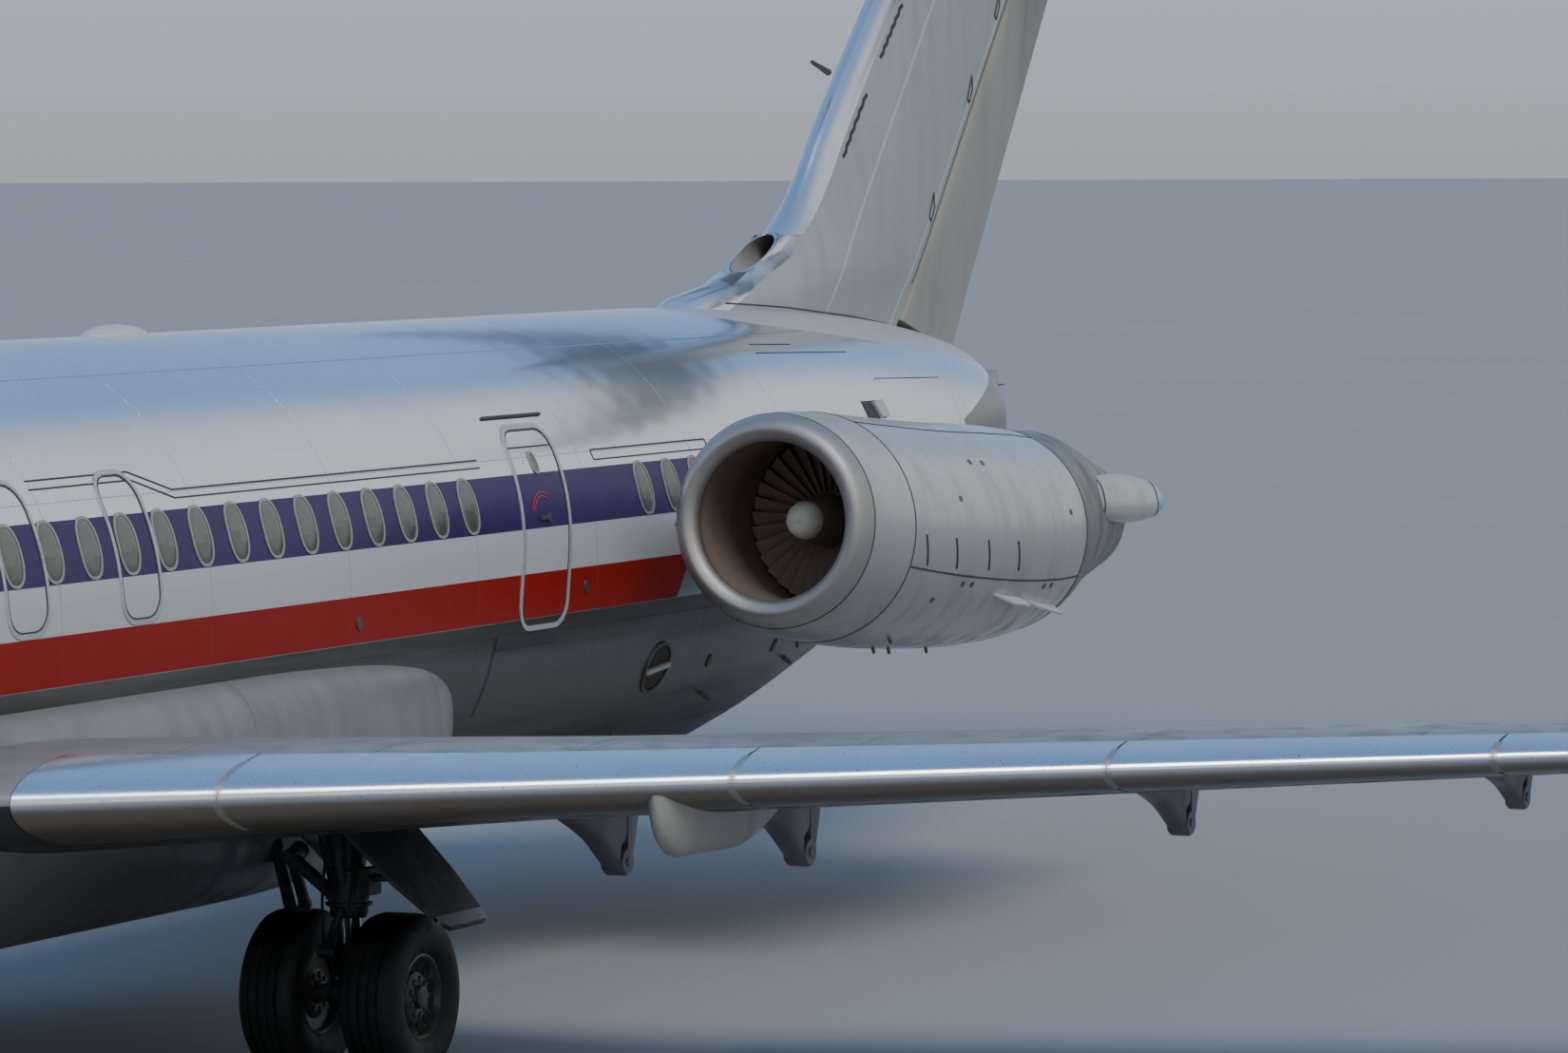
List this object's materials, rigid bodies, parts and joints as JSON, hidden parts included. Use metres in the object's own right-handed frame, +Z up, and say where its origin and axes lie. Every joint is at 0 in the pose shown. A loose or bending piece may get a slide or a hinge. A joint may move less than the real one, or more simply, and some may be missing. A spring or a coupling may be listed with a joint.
{
  "type": "scale model of a narrow-body airliner, 1:2",
  "caption": "Long twin-jet narrow-body airliner with a T-tail, rear engines on pylons, swept wings and a polished skin, parked on its gear.",
  "frame": {"origin": "on the ground under the middle of the overall length, on the centreline", "axes": "+X towards the nose, +Y to port, +Z up"},
  "size_m": [22.53, 16.43, 4.6],
  "materials": {
    "airframe_skin": "polished bare metal with painted cheat stripes",
    "grey_paint": "light grey paint, satin",
    "inlet_metal": "bare satin metal",
    "dark_metal": "dark heat-stained metal",
    "gear_metal": "grey gear paint with oil and dust",
    "tyre": "black rubber",
    "glass": "dark glass"
  },
  "bodies": {
    "airframe": {"fuselage": "airframe_skin", "tail_cone": "airframe_skin", "service_door_right": "airframe_skin", "entry_door_left": "airframe_skin", "service_door_aft_left": "airframe_skin", "exit_forward_left": "airframe_skin", "exit_aft_left": "airframe_skin", "exit_forward_right": "airframe_skin", "exit_aft_right": "airframe_skin", "slats_left": "airframe_skin", "slats_right": "airframe_skin", "radome": "grey_paint", "wing_body_fairing": "grey_paint", "fin": "grey_paint", "fin_tip_fairing": "grey_paint", "tailplane": "grey_paint", "wing_left": "grey_paint", "pylon_left": "grey_paint", "nacelle_left": "grey_paint", "reverser_left": "grey_paint", "main_leg_door_left": "grey_paint", "nose_gear_door_left": "grey_paint", "wing_right": "grey_paint", "pylon_right": "grey_paint", "nacelle_right": "grey_paint", "reverser_right": "grey_paint", "main_leg_door_right": "grey_paint", "nose_gear_door_right": "grey_paint", "inlet_lip_left": "inlet_metal", "inlet_lip_right": "inlet_metal", "engine_left": "dark_metal", "engine_right": "dark_metal", "main_leg_left": "gear_metal", "main_leg_right": "gear_metal", "nose_leg": "gear_metal", "cockpit_windows": "glass"},
    "rudder": {"rudder": "grey_paint"},
    "ventral_stair": {"ventral_stair": "airframe_skin"},
    "cargo_door_forward": {"cargo_door_forward": "airframe_skin"},
    "cargo_door_aft": {"cargo_door_aft": "airframe_skin"},
    "nose_steering": {"nose_leg_steering": "gear_metal"},
    "nose_wheel_set": {"nose_wheels": "tyre"},
    "elevator_left": {"elevator_left": "grey_paint"},
    "aileron_left": {"aileron_left": "grey_paint"},
    "flap_inboard_left": {"flap_inboard_left": "grey_paint"},
    "flap_outboard_left": {"flap_outboard_left": "grey_paint"},
    "fan_left": {"fan_left": "dark_metal"},
    "main_wheel_set_left": {"main_axle_left": "gear_metal", "main_tyre_inner_left": "tyre", "main_tyre_outer_left": "tyre"},
    "elevator_right": {"elevator_right": "grey_paint"},
    "aileron_right": {"aileron_right": "grey_paint"},
    "flap_inboard_right": {"flap_inboard_right": "grey_paint"},
    "flap_outboard_right": {"flap_outboard_right": "grey_paint"},
    "fan_right": {"fan_right": "dark_metal"},
    "main_wheel_set_right": {"main_axle_right": "gear_metal", "main_tyre_inner_right": "tyre", "main_tyre_outer_right": "tyre"}
  },
  "joints": [
    {"name": "rudder_hinge", "type": "hinge", "parent": "airframe", "child": "rudder", "pos_m": [-9.39016, 0, 3.25], "axis": [-0.6803, 0, 0.733], "range_deg": [-22, 22]},
    {"name": "ventral_stair_hinge", "type": "hinge", "parent": "airframe", "child": "ventral_stair", "pos_m": [-5.835, 0, 0.673], "axis": [0, -1, 0], "range_deg": [0, 36]},
    {"name": "cargo_door_forward_hinge", "type": "hinge", "parent": "airframe", "child": "cargo_door_forward", "pos_m": [6.78, -0.79466, 1.095], "axis": [-1, 0, 0], "range_deg": [0, 110]},
    {"name": "cargo_door_aft_hinge", "type": "hinge", "parent": "airframe", "child": "cargo_door_aft", "pos_m": [-3.0725, -0.79466, 1.095], "axis": [-1, 0, 0], "range_deg": [0, 110]},
    {"name": "nose_steering", "type": "hinge", "parent": "airframe", "child": "nose_steering", "pos_m": [10.14, 0, 0.3], "axis": [0, 0, 1], "range_deg": [-82, 82]},
    {"name": "nose_wheel_axle", "type": "hinge", "parent": "nose_steering", "child": "nose_wheel_set", "pos_m": [10.14, 0, 0.165], "axis": [0, 1, 0], "continuous": true},
    {"name": "elevator_hinge_left", "type": "hinge", "parent": "airframe", "child": "elevator_left", "pos_m": [-10.61868, 1.5, 4.51], "axis": [-0.2821, 0.9592, 0.0192], "range_deg": [-15, 25]},
    {"name": "aileron_hinge_left", "type": "hinge", "parent": "airframe", "child": "aileron_left", "pos_m": [-2.44935, 6.5, 1.15341], "axis": [-0.2965, 0.9543, 0.036], "range_deg": [-20, 20]},
    {"name": "flap_inboard_hinge_left", "type": "hinge", "parent": "airframe", "child": "flap_inboard_left", "pos_m": [-1.17465, 1.005, 0.66312], "axis": [0.0043, -0.9997, -0.0251], "range_deg": [0, 40]},
    {"name": "flap_outboard_hinge_left", "type": "hinge", "parent": "airframe", "child": "flap_outboard_left", "pos_m": [-1.17465, 2.435, 0.71379], "axis": [0.2731, -0.9583, -0.0847], "range_deg": [0, 40]},
    {"name": "fan_shaft_left", "type": "hinge", "parent": "airframe", "child": "fan_left", "pos_m": [-4.38445, 1.45, 1.59792], "axis": [0.999, 0, 0.0436], "continuous": true},
    {"name": "main_axle_left", "type": "hinge", "parent": "airframe", "child": "main_wheel_set_left", "pos_m": [-0.895, 1.27, 0.265], "axis": [0, 1, 0], "continuous": true},
    {"name": "elevator_hinge_right", "type": "hinge", "parent": "airframe", "child": "elevator_right", "pos_m": [-10.61868, -1.5, 4.51], "axis": [0.2821, 0.9592, -0.0192], "range_deg": [-15, 25]},
    {"name": "aileron_hinge_right", "type": "hinge", "parent": "airframe", "child": "aileron_right", "pos_m": [-2.44935, -6.5, 1.15341], "axis": [0.2965, 0.9543, -0.036], "range_deg": [-20, 20]},
    {"name": "flap_inboard_hinge_right", "type": "hinge", "parent": "airframe", "child": "flap_inboard_right", "pos_m": [-1.17465, -1.005, 0.66312], "axis": [-0.0043, -0.9997, 0.0251], "range_deg": [0, 40]},
    {"name": "flap_outboard_hinge_right", "type": "hinge", "parent": "airframe", "child": "flap_outboard_right", "pos_m": [-1.17465, -2.435, 0.71379], "axis": [-0.2731, -0.9583, 0.0847], "range_deg": [0, 40]},
    {"name": "fan_shaft_right", "type": "hinge", "parent": "airframe", "child": "fan_right", "pos_m": [-4.38445, -1.45, 1.59792], "axis": [0.999, 0, 0.0436], "continuous": true},
    {"name": "main_axle_right", "type": "hinge", "parent": "airframe", "child": "main_wheel_set_right", "pos_m": [-0.895, -1.27, 0.265], "axis": [0, 1, 0], "continuous": true}
  ]
}
